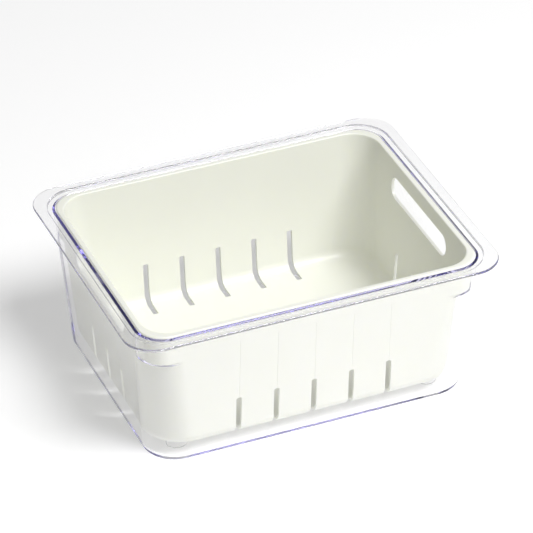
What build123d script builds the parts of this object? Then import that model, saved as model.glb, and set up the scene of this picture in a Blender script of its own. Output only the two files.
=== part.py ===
"""Fridge bin: a clear moulded bin with a white lift-out colander.

The bin stands on four moulded feet. Its walls lean out towards a stepped rim, and a ledge in
each corner holds the colander clear of the floor, so that rinsed food drains under it.
The origin is on the ground under the middle of the bin, X runs along its length, Z is up.
All sizes are in millimetres.
"""
from build123d import *
import math
import os

# Overall sizes
length = 290.0
width = 228.0
height = 117.0

# Bin walls and floor
wall = 2.0
draft = 4.2
end_rim_width = 14.0
side_rim_width = 12.0
foot_height = 1.2
floor_thickness = 2.2
base_radius = 25.0
mouth_radius = 22.0
base_edge_radius = 4.0
floor_edge_radius = 3.5

# Bin rim: an inner land one step lower than the flange round it
land_drop = 1.0
land_width = 5.6
flange_thickness = 2.2
rim_radius = 23.5
rim_edge_radius = 1.0
small_round = 0.5

# Bin feet, and corner ledges where the wider inner corners below give way to tighter ones
foot_diameter = 15.0
ledge_height = 91.0
ledge_width = 2.0

# Colander shell
side_gap = 2.6
colander_floor_height = 10.0
colander_wall = 2.4
colander_edge_radius = 10.0
room_bottom_radius = 27.0
room_top_radius = 21.5

# Colander seats: the corners stand out above the ledges and come down to rest on them
seat_gap = 0.1
seat_clearance = 0.9

# Colander rim
rim_gap = 0.7
colander_rim_drop = 0.5
colander_rim_thickness = 2.4
colander_rim_round = 0.9

# Colander hand holes
hand_hole_length = 98.0
hand_hole_height = 17.4
hand_hole_margin = 12.0

# Colander drain slots and the fine grooves over them
slot_width = 4.2
slot_pitch = 29.4
slot_top = 44.6
slot_round = 1.0
slot_floor_reach = 18.0
side_slots = 5
end_slots = 3
groove_width = 1.2
groove_depth = 0.5
groove_top = 97.0
end_groove_margin = 5.0

# Worked-out heights and sizes
lean = math.tan(math.radians(draft))
land_height = height - land_drop
mouth_length = length - 2 * end_rim_width
mouth_width = width - 2 * side_rim_width
floor_top = foot_height + floor_thickness
seat_height = ledge_height + seat_gap
colander_top = height - colander_rim_drop
colander_inset = wall + side_gap
shell_inset = colander_inset + colander_wall
colander_floor_top = colander_floor_height + colander_wall
hand_hole_middle = colander_top - hand_hole_margin - hand_hole_height / 2


def wall_size(z, inset):
    """Length and width of the bin's outer walls at height z, brought in by inset on each side."""
    taper = 2 * lean * (land_height - z)
    size_x = mouth_length + 2 * wall - taper - 2 * inset
    size_y = mouth_width + 2 * wall - taper - 2 * inset
    return size_x, size_y


def wall_radius(z, inset):
    """Corner radius of the bin's outer walls at height z, brought in by inset."""
    share = z / land_height
    return base_radius + (mouth_radius - base_radius) * share - inset


def room_radius(z):
    """Corner radius of the room inside the colander at height z."""
    share = (z - colander_floor_top) / (colander_top - colander_floor_top)
    return room_bottom_radius + (room_top_radius - room_bottom_radius) * share


def outline(z, inset, radius):
    """A rounded rectangle at height z, parallel to the bin's walls."""
    size_x, size_y = wall_size(z, inset)
    with BuildSketch(Plane.XY.offset(z)) as profile:
        RectangleRounded(size_x, size_y, radius)
    return profile.sketch


def tapered_block(bottom, top, inset, bottom_radius, top_radius):
    """A solid that leans with the bin's walls from bottom to top."""
    return loft([outline(bottom, inset, bottom_radius), outline(top, inset, top_radius)])


# Corner radii that set how far each corner reaches along its diagonal: growing a radius by r
# draws the corner in by corner_share * r, and growing an inset by i draws it in by sqrt(2) * i
corner_share = math.sqrt(2) - 1
above_ledge_radius = wall_radius(ledge_height, wall)
inner_top_radius = wall_radius(land_height, wall)
ledge_radius = above_ledge_radius + ledge_width / corner_share
seat_radius = above_ledge_radius - (math.sqrt(2) * side_gap - seat_clearance) / corner_share

# Room inside the bin: wide corners up to the ledges, tighter corners above them
with BuildPart() as cavity:
    add(tapered_block(floor_top, ledge_height, wall, ledge_radius, ledge_radius))
    fillet(cavity.edges().group_by(Axis.Z)[0], floor_edge_radius)
    add(tapered_block(ledge_height, land_height, wall, above_ledge_radius, inner_top_radius))

# Clear bin
land_radius = wall_radius(land_height, wall) + land_width
land_size_x = mouth_length + 2 * land_width
land_size_y = mouth_width + 2 * land_width

with BuildPart() as clear_bin:
    outer_bottom_radius = wall_radius(foot_height, 0)
    add(tapered_block(foot_height, land_height, 0, outer_bottom_radius, mouth_radius))
    fillet(clear_bin.edges().group_by(Axis.Z)[0], base_edge_radius)

    # flange, and under the land a band one step lower that keeps the rim's section even
    with BuildSketch(Plane.XY.offset(height - flange_thickness)):
        RectangleRounded(length, width, rim_radius)
    extrude(amount=flange_thickness)
    flange_rim = clear_bin.faces().filter_by(Axis.Z).group_by(Axis.Z)[-1].edges()
    fillet(flange_rim, rim_edge_radius)
    with BuildSketch(Plane.XY.offset(land_height - flange_thickness)):
        RectangleRounded(land_size_x, land_size_y, land_radius)
    extrude(amount=flange_thickness)
    with BuildSketch(Plane.XY.offset(land_height)):
        RectangleRounded(land_size_x, land_size_y, land_radius)
    extrude(amount=land_drop, mode=Mode.SUBTRACT)

    add(cavity.part, mode=Mode.SUBTRACT)
    land_face = clear_bin.faces().filter_by_position(Axis.Z, land_height, land_height)[0]
    fillet(land_face.inner_wires().edges(), small_round)

    # feet, one under the middle of each base corner's curve
    foot_size_x, foot_size_y = wall_size(foot_height, base_radius)
    with BuildSketch(Plane.XY):
        with GridLocations(foot_size_x, foot_size_y, 2, 2):
            Circle(foot_diameter / 2)
    extrude(amount=foot_height)
    fillet(clear_bin.edges().filter_by(GeomType.CIRCLE).group_by(Axis.Z)[0], small_round)
clear_bin.part.label = "clear_bin"

# Room inside the colander
with BuildPart() as colander_room:
    add(
        tapered_block(
            colander_floor_top, colander_top, shell_inset, room_bottom_radius, room_top_radius
        )
    )
    fillet(colander_room.edges().group_by(Axis.Z)[0], colander_edge_radius - colander_wall)

# Drain slots: up the walls from the bottom edge, and in across the edge of the floor
slot_bottom = colander_floor_height - colander_wall
slot_start_x, slot_start_y = wall_size(colander_floor_top, shell_inset + slot_floor_reach)
slot_end_x, slot_end_y = wall_size(slot_top, colander_inset - slot_width)
slot_length = (slot_end_x - slot_start_x) / 2

with BuildPart() as drain_slots:
    with BuildSketch(Plane.XY.offset(slot_bottom)):
        with GridLocations(slot_pitch, (slot_start_y + slot_end_y) / 2, side_slots, 2):
            SlotOverall(slot_length, slot_width, rotation=90)
        with GridLocations((slot_start_x + slot_end_x) / 2, slot_pitch, 2, end_slots):
            SlotOverall(slot_length, slot_width)
    extrude(amount=slot_top - slot_bottom)
    fillet(drain_slots.faces().group_by(Axis.Z)[-1].edges(), slot_round)

# Colander
with BuildPart() as colander:
    bottom_radius = room_radius(colander_floor_height) + colander_wall
    body_radius = room_radius(seat_height) + colander_wall
    add(
        tapered_block(
            colander_floor_height, seat_height, colander_inset, bottom_radius, body_radius
        )
    )
    fillet(colander.edges().group_by(Axis.Z)[0], colander_edge_radius)
    add(tapered_block(seat_height, colander_top, colander_inset, seat_radius, seat_radius))

    # rim that fills the bin's mouth
    with BuildSketch(Plane.XY.offset(colander_top - colander_rim_thickness)):
        RectangleRounded(
            mouth_length - 2 * rim_gap,
            mouth_width - 2 * rim_gap,
            wall_radius(land_height, wall) - rim_gap,
        )
    extrude(amount=colander_rim_thickness)
    add(colander_room.part, mode=Mode.SUBTRACT)
    fillet(colander.faces().group_by(Axis.Z)[-1].edges(), colander_rim_round)

    # hand hole through each end wall
    with BuildSketch(Plane.YZ):
        with Locations((0, hand_hole_middle)):
            SlotOverall(hand_hole_length, hand_hole_height)
    extrude(amount=length / 2, both=True, mode=Mode.SUBTRACT)

    add(drain_slots.part, mode=Mode.SUBTRACT)

    # a fine groove on the outside, from each slot towards the rim
    for side in (-1, 1):
        groove_middle = (slot_top + groove_top) / 2
        groove_length = groove_top - slot_top + 2 * slot_round
        face_y = wall_size(groove_middle, colander_inset)[1] / 2
        wall_plane = Plane(
            origin=(0, side * face_y, groove_middle),
            x_dir=(side, 0, 0),
            z_dir=(0, -side * math.cos(math.radians(draft)), math.sin(math.radians(draft))),
        )
        with BuildSketch(wall_plane):
            with GridLocations(slot_pitch, 0, side_slots, 1):
                Rectangle(groove_width, groove_length)
        extrude(amount=groove_depth, mode=Mode.SUBTRACT)

    for side in (-1, 1):
        end_groove_top = hand_hole_middle - hand_hole_height / 2 - end_groove_margin
        groove_middle = (slot_top + end_groove_top) / 2
        groove_length = end_groove_top - slot_top + 2 * slot_round
        face_x = wall_size(groove_middle, colander_inset)[0] / 2
        wall_plane = Plane(
            origin=(side * face_x, 0, groove_middle),
            x_dir=(0, -side, 0),
            z_dir=(-side * math.cos(math.radians(draft)), 0, math.sin(math.radians(draft))),
        )
        with BuildSketch(wall_plane):
            with GridLocations(slot_pitch, 0, end_slots, 1):
                Rectangle(groove_width, groove_length)
        extrude(amount=groove_depth, mode=Mode.SUBTRACT)
colander.part.label = "colander"

os.makedirs("parts", exist_ok=True)
export_step(clear_bin.part, "parts/clear_bin.step")
export_step(colander.part, "parts/colander.step")
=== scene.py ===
import math

import bmesh
import bpy
import numpy as np
from mathutils import Matrix, Vector


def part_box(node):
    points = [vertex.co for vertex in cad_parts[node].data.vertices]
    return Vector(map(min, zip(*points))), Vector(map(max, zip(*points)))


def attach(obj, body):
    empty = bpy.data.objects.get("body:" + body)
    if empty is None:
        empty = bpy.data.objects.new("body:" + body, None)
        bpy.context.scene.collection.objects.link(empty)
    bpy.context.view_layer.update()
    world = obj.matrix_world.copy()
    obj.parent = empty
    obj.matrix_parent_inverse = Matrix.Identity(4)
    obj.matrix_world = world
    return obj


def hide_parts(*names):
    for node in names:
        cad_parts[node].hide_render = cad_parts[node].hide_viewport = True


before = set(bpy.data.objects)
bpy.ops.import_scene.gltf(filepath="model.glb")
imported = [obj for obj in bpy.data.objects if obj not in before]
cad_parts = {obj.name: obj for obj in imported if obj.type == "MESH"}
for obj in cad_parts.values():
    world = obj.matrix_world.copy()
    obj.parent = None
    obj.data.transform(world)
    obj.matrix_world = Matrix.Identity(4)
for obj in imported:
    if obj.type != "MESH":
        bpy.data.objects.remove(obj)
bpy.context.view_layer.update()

# Clear bin. One injection moulding in clear styrene: floor, leaning walls, a stepped rim with a
# wide flange, a small ledge in each inside corner for the colander to sit on, and four foot pads.
# The plastic has a faint violet cast that only shows where light runs a long way through it.
mm = 0.001
bin_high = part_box("clear_bin")[1]
bin_top = bin_high.z
wall = 2 * mm
wall_lean = math.tan(math.radians(4.2))
foot_height = 1.2 * mm
floor_thickness = 2.2 * mm
floor_top = foot_height + floor_thickness
base_radius = 25 * mm
mouth_radius = 22 * mm
base_edge_radius = 4 * mm
floor_edge_radius = 3.5 * mm
land_drop = 1 * mm
land_top = bin_top - land_drop
land_width = 5.6 * mm
flange_thickness = 2.2 * mm
flange_radius = 23.5 * mm
flange_edge_round = 0.9 * mm
mouth_round = 0.5 * mm
crease_round = 0.4 * mm
step_round = 0.3 * mm
end_rim_width = 14 * mm
side_rim_width = 12 * mm
mouth_x = bin_high.x - end_rim_width
mouth_y = bin_high.y - side_rim_width
ledge_top = 91 * mm
ledge_radius = 25.48 * mm


def ring(half_x, half_y, radius, z):
    """A rounded rectangle: half its length, half its width, its corner radius and its height."""
    return np.array((half_x, half_y, radius, z))


def wall_ring(z, inset, radius=None):
    """A ring on the bin's leaning outer walls at height z, brought in by inset."""
    lean_in = wall_lean * (land_top - z) + inset
    if radius is None:
        radius = base_radius + (mouth_radius - base_radius) * z / land_top - inset
    return ring(mouth_x + wall - lean_in, mouth_y + wall - lean_in, radius, z)


def rounded_section(corners, steps=6):
    """The rings along a moulding's section, given its corners as (ring, size of its rounding)."""
    rings = []
    for index, (corner, size) in enumerate(corners):
        if size == 0:
            rings.append(corner)
            continue
        back = corners[index - 1][0] - corner
        ahead = corners[index + 1][0] - corner
        back = back / math.hypot(back[0], back[3]) * size
        ahead = ahead / math.hypot(ahead[0], ahead[3]) * size
        for step in range(steps + 1):
            turn = math.pi / 2 * step / steps
            from_back = back * (1 - math.sin(turn))
            from_ahead = ahead * (1 - math.cos(turn))
            rings.append(corner + from_back + from_ahead)
    return rings


# where the straight stretches get their last points before a corner, and the points before those
straight_x = 84 * mm
straight_y = 55 * mm
straight_shares = (0.25, 0.5, 0.75, 1)
corner_steps = 24


def quarter(outline):
    """The points of one corner of a ring, from the middle of the end wall round to the long wall."""
    half_x, half_y, radius, z = outline
    points = [(half_x, straight_y * share, z) for share in straight_shares]
    for step in range(corner_steps + 1):
        angle = math.pi / 2 * step / corner_steps
        x = half_x - radius + radius * math.cos(angle)
        y = half_y - radius + radius * math.sin(angle)
        points.append((x, y, z))
    points += [(straight_x * share, half_y, z) for share in reversed(straight_shares)]
    return points


def all_round(outline):
    """The points of all four corners of a ring, anticlockwise."""
    corner = quarter(outline)
    points = list(corner)
    points += [(-x, y, z) for x, y, z in reversed(corner)]
    points += [(-x, -y, z) for x, y, z in corner]
    points += [(x, -y, z) for x, y, z in reversed(corner)]
    return points


def join_loops(bm, first, second):
    """A band of faces between two loops with the same number of corners."""
    for index in range(len(first)):
        after = (index + 1) % len(first)
        bm.faces.new((first[index], first[after], second[after], second[index]))


def skin(bm, rings):
    """Faces from each ring to the next; returns the loops of corner points."""
    loops = [[bm.verts.new(point) for point in all_round(outline)] for outline in rings]
    for lower, upper in zip(loops, loops[1:]):
        join_loops(bm, lower, upper)
    return loops


def finish_mesh(bm, name):
    """A smooth-shaded object from bm, with its faces facing outwards and its creases kept sharp."""
    same_point = 1e-6
    crease_angle = math.radians(35)
    bmesh.ops.remove_doubles(bm, verts=bm.verts, dist=same_point)
    bmesh.ops.dissolve_degenerate(bm, dist=same_point, edges=bm.edges)
    bmesh.ops.recalc_face_normals(bm, faces=bm.faces)
    for face in bm.faces:
        face.smooth = True
    mesh = bpy.data.meshes.new(name)
    bm.to_mesh(mesh)
    bm.free()
    mesh.set_sharp_from_angle(angle=crease_angle)
    piece = bpy.data.objects.new(name, mesh)
    bpy.context.scene.collection.objects.link(piece)
    return piece


# the section, from the underside out, up the walls, over the rim, down inside and in on the floor
underside_width = 12 * mm
floor_border = 10 * mm
land_radius = wall_ring(land_top, wall)[2] + land_width
land = (mouth_x + land_width, mouth_y + land_width, land_radius)
flange = (bin_high.x, bin_high.y, flange_radius)
bm = bmesh.new()
loops = skin(bm, rounded_section([
    (wall_ring(foot_height, underside_width), 0),
    (wall_ring(foot_height, 0), base_edge_radius),
    (wall_ring(land_top - flange_thickness, 0), crease_round),
    (ring(*land, land_top - flange_thickness), crease_round),
    (ring(*land, bin_top - flange_thickness), step_round),
    (ring(*flange, bin_top - flange_thickness), flange_edge_round),
    (ring(*flange, bin_top), flange_edge_round),
    (ring(*land, bin_top), crease_round),
    (ring(*land, land_top), step_round),
    (wall_ring(land_top, wall), mouth_round),
    (wall_ring(ledge_top, wall), 0),
    (wall_ring(ledge_top, wall, ledge_radius), 0),
    (wall_ring(floor_top, wall, ledge_radius), floor_edge_radius),
    (wall_ring(floor_top, wall + floor_border, ledge_radius - floor_border), 0),
]))
bm.faces.new(loops[-1])

# foot pads, one under the middle of each base corner's curve
foot_radius = 7.5 * mm
foot_round = 0.5 * mm
foot_points = 48
foot_round_steps = 5
foot_x, foot_y = wall_ring(foot_height, base_radius)[:2]
foot_levels = [(foot_radius, foot_height)]
for step in range(foot_round_steps + 1):
    turn = math.pi / 2 * step / foot_round_steps
    radius = foot_radius - foot_round * (1 - math.cos(turn))
    foot_levels.append((radius, foot_round * (1 - math.sin(turn))))
outlines = [loops[0]]
for side_x, side_y in ((1, 1), (-1, 1), (-1, -1), (1, -1)):
    pad = []
    for radius, z in foot_levels:
        level = []
        for step in range(foot_points):
            angle = math.tau * step / foot_points
            x = side_x * foot_x + radius * math.cos(angle)
            y = side_y * foot_y + radius * math.sin(angle)
            level.append(bm.verts.new((x, y, z)))
        pad.append(level)
    for upper, lower in zip(pad, pad[1:]):
        join_loops(bm, upper, lower)
    bm.faces.new(pad[-1])
    outlines.append(pad[0])

# the underside's flat, between its outline and the pads
edges = []
for outline in outlines:
    for start, end in zip(outline, outline[1:] + outline[:1]):
        edges.append(bm.edges.get((start, end)) or bm.edges.new((start, end)))
bmesh.ops.triangle_fill(bm, edges=edges, use_beauty=True)
clear_bin = finish_mesh(bm, "clear_bin_moulding")
even_normals = clear_bin.modifiers.new("even_normals", "WEIGHTED_NORMAL")
even_normals.keep_sharp = True


def surface_noise(tree, scale, detail):
    """Noise fixed to the piece, with scale in spots per metre."""
    place = tree.nodes.new("ShaderNodeTexCoord")
    noise = tree.nodes.new("ShaderNodeTexNoise")
    noise.inputs["Scale"].default_value = scale
    noise.inputs["Detail"].default_value = detail
    tree.links.new(place.outputs["Object"], noise.inputs["Vector"])
    return noise.outputs["Fac"]


def uneven_gloss(tree, noise, shader, noise_range, roughness_range):
    """Roughness that follows the noise from the first to the last of roughness_range."""
    spread = tree.nodes.new("ShaderNodeMapRange")
    spread.inputs["From Min"].default_value = noise_range[0]
    spread.inputs["From Max"].default_value = noise_range[1]
    spread.inputs["To Min"].default_value = roughness_range[0]
    spread.inputs["To Max"].default_value = roughness_range[1]
    tree.links.new(noise, spread.inputs["Value"])
    tree.links.new(spread.outputs["Result"], shader.inputs["Roughness"])


# clear styrene: polished, and very slightly hazy in patches, as it came off the tool
clear_styrene = bpy.data.materials.new("clear_styrene")
clear_styrene.use_nodes = True
tree = clear_styrene.node_tree
tree.nodes.clear()
polished = tree.nodes.new("ShaderNodeBsdfPrincipled")
polished.inputs["Base Color"].default_value = (1, 1, 1, 1)
polished.inputs["Transmission Weight"].default_value = 1
polished.inputs["IOR"].default_value = 1.55
haze_patches = surface_noise(tree, scale=70, detail=5)
uneven_gloss(tree, haze_patches, polished, noise_range=(0.35, 0.75), roughness_range=(0.006, 0.018))

# light from the lamps and from white surfaces passes straight through, so the inside stays bright
straight_through = tree.nodes.new("ShaderNodeBsdfTransparent")
ray = tree.nodes.new("ShaderNodeLightPath")
lighting = tree.nodes.new("ShaderNodeMath")
lighting.operation = "MAXIMUM"
tree.links.new(ray.outputs["Is Shadow Ray"], lighting.inputs[0])
tree.links.new(ray.outputs["Is Diffuse Ray"], lighting.inputs[1])
either = tree.nodes.new("ShaderNodeMixShader")
tree.links.new(lighting.outputs["Value"], either.inputs[0])
tree.links.new(polished.outputs["BSDF"], either.inputs[1])
tree.links.new(straight_through.outputs["BSDF"], either.inputs[2])
violet_cast = tree.nodes.new("ShaderNodeVolumeAbsorption")
violet_cast.inputs["Color"].default_value = (0.60, 0.57, 0.85, 1)
violet_cast.inputs["Density"].default_value = 9
output = tree.nodes.new("ShaderNodeOutputMaterial")
tree.links.new(either.outputs["Shader"], output.inputs["Surface"])
tree.links.new(violet_cast.outputs["Volume"], output.inputs["Volume"])
clear_bin.data.materials.append(clear_styrene)
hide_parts("clear_bin")
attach(clear_bin, "bin")

# White colander. A second moulding, in milky white plastic, that stands inside the bin. Its rim
# fills the bin's mouth, its corners come down onto the bin's ledges, and drain slots rise from the
# edge of its floor up every wall. A long hand hole goes through each end wall.
colander_low, colander_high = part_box("colander")
rim_top = colander_high.z
floor_bottom = colander_low.z
shell = 2.4 * mm
side_gap = 2.6 * mm
seat_gap = 0.1 * mm
seat_height = ledge_top + seat_gap
seat_radius = 13.94 * mm
rim_thickness = 2.4 * mm
rim_corner = (colander_high.x, colander_high.y, 19.3 * mm)
rim_edge_round = 0.9 * mm
rim_lower_round = 0.5 * mm
rim_crease_round = 0.3 * mm
outer_edge_radius = 10 * mm
inner_edge_radius = outer_edge_radius - shell
room_bottom_radius = 27 * mm
room_top_radius = 21.5 * mm
outer_inset = wall + side_gap
inner_inset = outer_inset + shell
inner_floor = floor_bottom + shell


def room_radius(z):
    """Corner radius of the room inside the colander at height z."""
    share = (z - inner_floor) / (rim_top - inner_floor)
    return room_bottom_radius + (room_top_radius - room_bottom_radius) * share


def outer_ring(z, extra=0):
    """A ring on the colander's outside below its seats, brought in by extra."""
    return wall_ring(z, outer_inset + extra, room_radius(z) + shell - extra)


def inner_ring(z, extra=0):
    """A ring on the walls of the room inside the colander, brought in by extra."""
    return wall_ring(z, inner_inset + extra, room_radius(z) - extra)


# the section, from the underside out, up to the seats and the rim, down inside and in on the floor
outer_floor_border = 14 * mm
inner_floor_border = 12 * mm
bm = bmesh.new()
loops = skin(bm, rounded_section([
    (outer_ring(floor_bottom, outer_floor_border), 0),
    (outer_ring(floor_bottom), outer_edge_radius),
    (outer_ring(seat_height), 0),
    (wall_ring(seat_height, outer_inset, seat_radius), 0),
    (wall_ring(rim_top - rim_thickness, outer_inset, seat_radius), rim_crease_round),
    (ring(*rim_corner, rim_top - rim_thickness), rim_lower_round),
    (ring(*rim_corner, rim_top), rim_edge_round),
    (inner_ring(rim_top), rim_edge_round),
    (inner_ring(inner_floor), inner_edge_radius),
    (inner_ring(inner_floor, inner_floor_border), 0),
], steps=10))
bm.faces.new(loops[-1])
bm.faces.new(list(reversed(loops[0])))
colander = finish_mesh(bm, "colander_moulding")


def along_side(across, up, out):
    """A point on a long wall, from its place across, up and out."""
    return (across, out, up)


def along_end(across, up, out):
    """A point on an end wall, from its place across, up and out."""
    return (out, across, up)


def closed_shape(bm, near, far):
    """A closed shape between two outlines, each a list of points."""
    near = [bm.verts.new(point) for point in near]
    far = [bm.verts.new(point) for point in far]
    bm.faces.new(near)
    bm.faces.new(list(reversed(far)))
    join_loops(bm, far, near)


def through_wall(bm, outline, start, end, place):
    """A closed shape with outline in the wall's plane, from start to end measured outwards."""
    near = [place(across, up, start) for across, up in outline]
    far = [place(across, up, end) for across, up in outline]
    closed_shape(bm, near, far)


def cut_out(piece, bm):
    """Takes the closed shapes in bm out of piece."""
    bmesh.ops.recalc_face_normals(bm, faces=bm.faces)
    mesh = bpy.data.meshes.new("cuts")
    bm.to_mesh(mesh)
    bm.free()
    cutter = bpy.data.objects.new("cuts", mesh)
    bpy.context.scene.collection.objects.link(cutter)
    cutting = piece.modifiers.new("cuts", "BOOLEAN")
    cutting.operation = "DIFFERENCE"
    cutting.solver = "EXACT"
    cutting.object = cutter
    graph = bpy.context.evaluated_depsgraph_get()
    cut_mesh = bpy.data.meshes.new_from_object(piece.evaluated_get(graph))
    piece.modifiers.clear()
    piece.data = cut_mesh
    bpy.data.objects.remove(cutter)


def round_arc(middle_x, middle_y, radius, start, turn, steps):
    """Points on an arc that begins at angle start and goes on by turn, in radians."""
    points = []
    for step in range(steps + 1):
        angle = start + turn * step / steps
        points.append((middle_x + radius * math.cos(angle), middle_y + radius * math.sin(angle)))
    return points


# drain slots: five in each long wall and three in each end wall, with two round top corners
slot_width = 4.2 * mm
slot_pitch = 29.4 * mm
slot_top = 44.6 * mm
slot_bottom = floor_bottom - shell
slot_round = 1 * mm
slot_round_steps = 4
slot_floor_reach = 18 * mm
side_slots = range(-2, 3)
end_slots = range(-1, 2)


def slot_outline(middle):
    """A drain slot's outline in the plane of its wall."""
    half = slot_width / 2
    arc_at = half - slot_round
    arc_up = slot_top - slot_round
    outline = [(middle - half, slot_bottom), (middle + half, slot_bottom)]
    outline += round_arc(middle + arc_at, arc_up, slot_round, 0, math.pi / 2, slot_round_steps)
    outline += round_arc(middle - arc_at, arc_up, slot_round, math.pi / 2, math.pi / 2, slot_round_steps)
    return outline


slot_in_x, slot_in_y = wall_ring(inner_floor, inner_inset + slot_floor_reach)[:2]
slot_out_x, slot_out_y = wall_ring(slot_top, 0)[:2]
cuts = bmesh.new()
for side in (1, -1):
    for index in side_slots:
        outline = slot_outline(index * slot_pitch)
        through_wall(cuts, outline, side * slot_in_y, side * slot_out_y, along_side)
    for index in end_slots:
        outline = slot_outline(index * slot_pitch)
        through_wall(cuts, outline, side * slot_in_x, side * slot_out_x, along_end)

# hand holes: one round-ended hole through each end wall, under the rim
hand_hole_length = 98 * mm
hand_hole_height = 17.4 * mm
hand_hole_margin = 12 * mm
hand_hole_steps = 16
hand_hole_in = bin_high.x - 35 * mm
hand_hole_out = bin_high.x - 10 * mm
hand_hole_z = rim_top - hand_hole_margin - hand_hole_height / 2
end_radius = hand_hole_height / 2
end_at = hand_hole_length / 2 - end_radius
hand_hole = round_arc(end_at, hand_hole_z, end_radius, -math.pi / 2, math.pi, hand_hole_steps)
hand_hole += round_arc(-end_at, hand_hole_z, end_radius, math.pi / 2, math.pi, hand_hole_steps)
for side in (1, -1):
    through_wall(cuts, hand_hole, side * hand_hole_in, side * hand_hole_out, along_end)
cut_out(colander, cuts)

# grooves: a fine V up the outside of the wall from each slot, towards the rim or the hand hole
groove_half = 0.6 * mm
groove_depth = 0.5 * mm
groove_clear = 1.5 * mm
groove_section = [
    (-groove_half * 2, groove_clear),
    (groove_half * 2, groove_clear),
    (groove_half, 0),
    (0, -groove_depth),
    (-groove_half, 0),
]
groove_bottom = slot_top - slot_round
groove_top = 97 * mm
groove_to_hand_hole = 5.1 * mm
end_groove_top = hand_hole_z - hand_hole_height / 2 - groove_to_hand_hole


def groove(bm, middle, top, place, side, axis):
    """A V groove up a wall; axis is 0 for the walls across X and 1 for those across Y."""
    ends = []
    for z in (groove_bottom, top):
        face = wall_ring(z, outer_inset)[axis]
        ends.append([place(middle + across, z, side * (face + out)) for across, out in groove_section])
    closed_shape(bm, *ends)


cuts = bmesh.new()
for side in (1, -1):
    for index in side_slots:
        groove(cuts, index * slot_pitch, groove_top, along_side, side, axis=1)
    for index in end_slots:
        groove(cuts, index * slot_pitch, end_groove_top, along_end, side, axis=0)
cut_out(colander, cuts)
soft_edges = colander.modifiers.new("soft_edges", "BEVEL")
soft_edges.width = 0.45 * mm
soft_edges.segments = 3
soft_edges.limit_method = "ANGLE"
soft_edges.angle_limit = math.radians(40)
even_normals = colander.modifiers.new("even_normals", "WEIGHTED_NORMAL")
even_normals.keep_sharp = False

# milky white plastic: satin, faintly clouded, with a fine grain from the tool
milky_white = bpy.data.materials.new("milky_white_plastic")
milky_white.use_nodes = True
tree = milky_white.node_tree
satin = tree.nodes["Principled BSDF"]
cloud = tree.nodes.new("ShaderNodeMix")
cloud.data_type = "RGBA"
cloud.inputs["A"].default_value = (0.825, 0.832, 0.760, 1)
cloud.inputs["B"].default_value = (0.850, 0.857, 0.790, 1)
tree.links.new(surface_noise(tree, scale=22, detail=4), cloud.inputs["Factor"])
tree.links.new(cloud.outputs["Result"], satin.inputs["Base Color"])
satin.inputs["Subsurface Weight"].default_value = 0.3
satin.inputs["Subsurface Radius"].default_value = (4 * mm, 4 * mm, 3 * mm)
satin.inputs["Subsurface Scale"].default_value = 1
satin_patches = surface_noise(tree, scale=160, detail=6)
uneven_gloss(tree, satin_patches, satin, noise_range=(0.3, 0.7), roughness_range=(0.30, 0.42))
grain = tree.nodes.new("ShaderNodeBump")
grain.inputs["Strength"].default_value = 0.35
grain.inputs["Distance"].default_value = 0.03 * mm
tree.links.new(surface_noise(tree, scale=2400, detail=2), grain.inputs["Height"])
tree.links.new(grain.outputs["Normal"], satin.inputs["Normal"])
colander.data.materials.append(milky_white)
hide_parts("colander")
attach(colander, "colander")

# Table. A plain sheet of white acrylic, far larger than the bin, that the bin stands on.
# It glows softly, like a light table, so that shadows on it stay pale.
bm = bmesh.new()
bmesh.ops.create_grid(bm, x_segments=2, y_segments=2, size=4)
table_mesh = bpy.data.meshes.new("studio_floor")
bm.to_mesh(table_mesh)
bm.free()
table = bpy.data.objects.new("studio_floor", table_mesh)
bpy.context.scene.collection.objects.link(table)
acrylic = bpy.data.materials.new("white_acrylic")
acrylic.use_nodes = True
sheet = acrylic.node_tree.nodes["Principled BSDF"]
sheet.inputs["Base Color"].default_value = (0.78, 0.78, 0.78, 1)
sheet.inputs["Roughness"].default_value = 0.7
sheet.inputs["Emission Color"].default_value = (1, 1, 1, 1)
sheet.inputs["Emission Strength"].default_value = 0.29
table.data.materials.append(acrylic)

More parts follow.
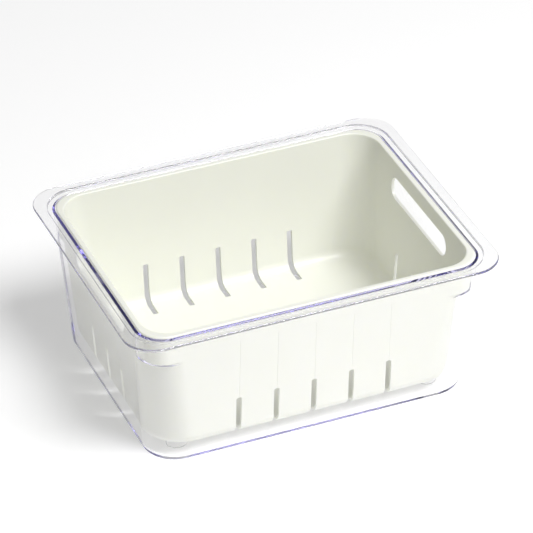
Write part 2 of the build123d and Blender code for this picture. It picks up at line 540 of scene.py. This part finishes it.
# Light. A white room that is brighter overhead than at the sides, which shows up the edges of the
# clear plastic, and one wide soft lamp high in front and a little to the right.
room = bpy.data.worlds.new("white_room")
room.use_nodes = True
tree = room.node_tree
direction = tree.nodes.new("ShaderNodeTexCoord")
split = tree.nodes.new("ShaderNodeSeparateXYZ")
brightness = tree.nodes.new("ShaderNodeMapRange")
brightness.inputs["From Min"].default_value = 0
brightness.inputs["From Max"].default_value = 0.55
brightness.inputs["To Min"].default_value = 0.16
brightness.inputs["To Max"].default_value = 0.34
tree.nodes["Background"].inputs["Color"].default_value = (1, 1, 1, 1)
tree.links.new(direction.outputs["Generated"], split.inputs["Vector"])
tree.links.new(split.outputs["Z"], brightness.inputs["Value"])
tree.links.new(brightness.outputs["Result"], tree.nodes["Background"].inputs["Strength"])
bpy.context.scene.world = room
bpy.context.scene.view_settings.view_transform = "Standard"

lamp_place = Vector((0.68, -1.15, 2.0))
lamp_aim = Vector((0, 0, 0.05))
lamp_data = bpy.data.lights.new("window_light", "AREA")
lamp_data.shape = "DISK"
lamp_data.size = 1.2
lamp_data.energy = 52
lamp = bpy.data.objects.new("window_light", lamp_data)
lamp.location = lamp_place
lamp.rotation_euler = (lamp_aim - lamp_place).to_track_quat("-Z", "Y").to_euler()
bpy.context.scene.collection.objects.link(lamp)

# light that is caught inside the clear walls is followed until it comes out
bounces = bpy.context.scene.cycles
bounces.max_bounces = 160
bounces.glossy_bounces = 160
bounces.transmission_bounces = 64
bounces.transparent_max_bounces = 32

# Camera. A long lens about three metres away, in front of the bin, to its left and well above it.
# It looks at a point a little above the bin's middle and is turned very slightly about its line.
azimuth = math.radians(-22.23)
elevation = math.radians(33.91)
roll = math.radians(-0.57)
distance = 2.994
aim_right = 0.00207
aim_up = 0.02111
away_x = math.sin(azimuth) * math.cos(elevation)
away_y = -math.cos(azimuth) * math.cos(elevation)
away = Vector((away_x, away_y, math.sin(elevation)))
right = Vector((math.cos(azimuth), math.sin(azimuth), 0))
up = away.cross(right)
aim = Vector((0, 0, bin_top / 2)) + right * aim_right + up * aim_up
turned_right = right * math.cos(roll) + up * math.sin(roll)
turned_up = up * math.cos(roll) - right * math.sin(roll)
camera_data = bpy.data.cameras.new("camera")
camera_data.sensor_width = 36
camera_data.lens = 273.5
camera = bpy.data.objects.new("camera", camera_data)
camera_pose = Matrix((turned_right, turned_up, away)).transposed().to_4x4()
camera_pose.translation = aim + away * distance
camera.matrix_world = camera_pose
bpy.context.scene.collection.objects.link(camera)
bpy.context.scene.camera = camera
